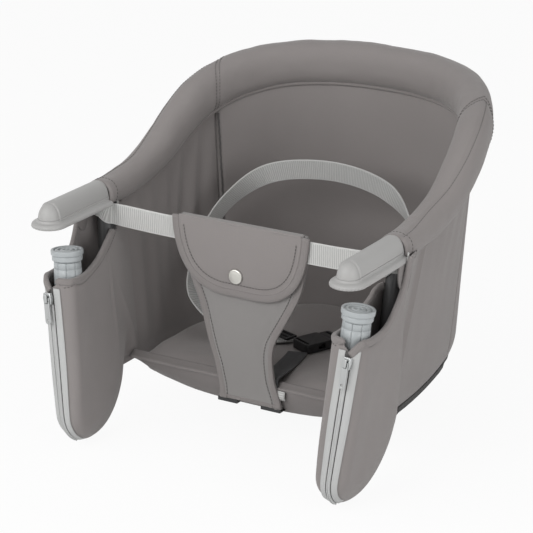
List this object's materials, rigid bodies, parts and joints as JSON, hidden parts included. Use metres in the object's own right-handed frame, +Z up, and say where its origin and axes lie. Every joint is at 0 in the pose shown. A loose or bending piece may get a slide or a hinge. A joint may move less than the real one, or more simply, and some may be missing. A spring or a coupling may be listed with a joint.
{
  "type": "hook-on table seat",
  "caption": "Padded bucket seat for a baby that hooks onto a table edge: arm pads lie on the table, twist clamps on hook arms press from below, with zipped pockets and a waist belt.",
  "frame": {"origin": "on the plane of the table top, at the table's front edge, on the seat's centre line", "axes": "+Z up, +X to the right seen from the table side, -Y towards the table, the child sits facing -Y"},
  "size_m": [0.355, 0.394, 0.3369],
  "materials": {
    "steel_tube": "satin painted steel tube",
    "shell_fabric": "fine plain-weave polyester, soft sheen",
    "base_fabric": "dark woven underside cloth over a stiff board",
    "light_webbing": "ribbed light webbing",
    "dark_webbing": "ribbed dark webbing",
    "black_plastic": "fine-grained moulded plastic",
    "pad_rubber": "matte soft rubber",
    "clamp_plastic": "satin moulded plastic",
    "bright_metal": "bright plated metal",
    "zip_tape": "woven zip tape over a nylon coil"
  },
  "bodies": {
    "seat": {"top_rail": "steel_tube", "rim_cover": "shell_fabric", "back_panel": "shell_fabric", "base_board": "base_fabric", "seat_cushion": "shell_fabric", "front_strap": "light_webbing", "crotch_panel": "shell_fabric", "press_stud_socket": "bright_metal", "waist_belt": "light_webbing", "crotch_web": "dark_webbing", "buckle_socket": "black_plastic", "belt_ladder_lock": "black_plastic", "left_side_panel": "shell_fabric", "left_pocket": "shell_fabric", "left_arm_pad": "pad_rubber", "left_arm_joint": "black_plastic", "left_joint_rivet": "bright_metal", "left_panel_hook": "black_plastic", "left_hook_arm": "steel_tube", "left_clamp_bush": "clamp_plastic", "left_zip_tape": "zip_tape", "left_zip_chain": "zip_tape", "right_side_panel": "shell_fabric", "right_pocket": "shell_fabric", "right_arm_pad": "pad_rubber", "right_arm_joint": "black_plastic", "right_joint_rivet": "bright_metal", "right_panel_hook": "black_plastic", "right_hook_arm": "steel_tube", "right_clamp_bush": "clamp_plastic", "right_zip_tape": "zip_tape", "right_zip_chain": "zip_tape"},
    "left_foot": {"left_clamp_foot": "clamp_plastic", "left_clamp_spindle": "bright_metal"},
    "left_grip": {"left_twist_grip": "clamp_plastic"},
    "left_slider": {"left_zip_slider": "bright_metal"},
    "left_pull": {"left_zip_pull": "bright_metal"},
    "right_foot": {"right_clamp_foot": "clamp_plastic", "right_clamp_spindle": "bright_metal"},
    "right_grip": {"right_twist_grip": "clamp_plastic"},
    "right_slider": {"right_zip_slider": "bright_metal"},
    "right_pull": {"right_zip_pull": "bright_metal"},
    "crotch_flap": {"crotch_flap": "shell_fabric", "press_stud_cap": "bright_metal"},
    "buckle_tongue": {"buckle_tongue": "black_plastic"}
  },
  "joints": [
    {"name": "left_grip_turn", "type": "hinge", "parent": "seat", "child": "left_grip", "pos_m": [-0.15572, -0.0505, -0.05439], "axis": [-0.0782, 0.0785, 0.9938], "range_deg": [0, 1800]},
    {"name": "left_foot_lift", "type": "slide", "parent": "seat", "child": "left_foot", "axis": [-0.0782, 0.0785, 0.9938], "range_m": [0, 0.02]},
    {"name": "left_zip_run", "type": "slide", "parent": "seat", "child": "left_slider", "axis": [0.1287, -0.0605, -0.9898], "range_m": [0, 0.104]},
    {"name": "left_pull_swing", "type": "hinge", "parent": "left_slider", "child": "left_pull", "pos_m": [-0.15889, -0.07868, -0.07052], "axis": [-0.9917, 0, -0.1289], "range_deg": [0, 150]},
    {"name": "right_grip_turn", "type": "hinge", "parent": "seat", "child": "right_grip", "pos_m": [0.15572, -0.0505, -0.05439], "axis": [0.0782, 0.0785, 0.9938], "range_deg": [0, 1800]},
    {"name": "right_foot_lift", "type": "slide", "parent": "seat", "child": "right_foot", "axis": [0.0782, 0.0785, 0.9938], "range_m": [0, 0.02]},
    {"name": "right_zip_run", "type": "slide", "parent": "seat", "child": "right_slider", "axis": [-0.1287, -0.0605, -0.9898], "range_m": [0, 0.104]},
    {"name": "right_pull_swing", "type": "hinge", "parent": "right_slider", "child": "right_pull", "pos_m": [0.15889, -0.07868, -0.07052], "axis": [-0.9917, 0, 0.1289], "range_deg": [0, 150]},
    {"name": "flap_lift", "type": "hinge", "parent": "seat", "child": "crotch_flap", "pos_m": [-0.004, 0.0175, 0.0008], "axis": [-1, 0, 0], "range_deg": [0, 150]},
    {"name": "buckle_release", "type": "slide", "parent": "seat", "child": "buckle_tongue", "axis": [0.4229, 0.9062, 0], "range_m": [0, 0.022], "deforming": ["waist_belt"]}
  ],
  "couplings": [
    {"joint": "left_grip_turn", "follows": "left_foot_lift", "rad_per_m": 1570.8},
    {"joint": "right_grip_turn", "follows": "right_foot_lift", "rad_per_m": 1570.8}
  ]
}
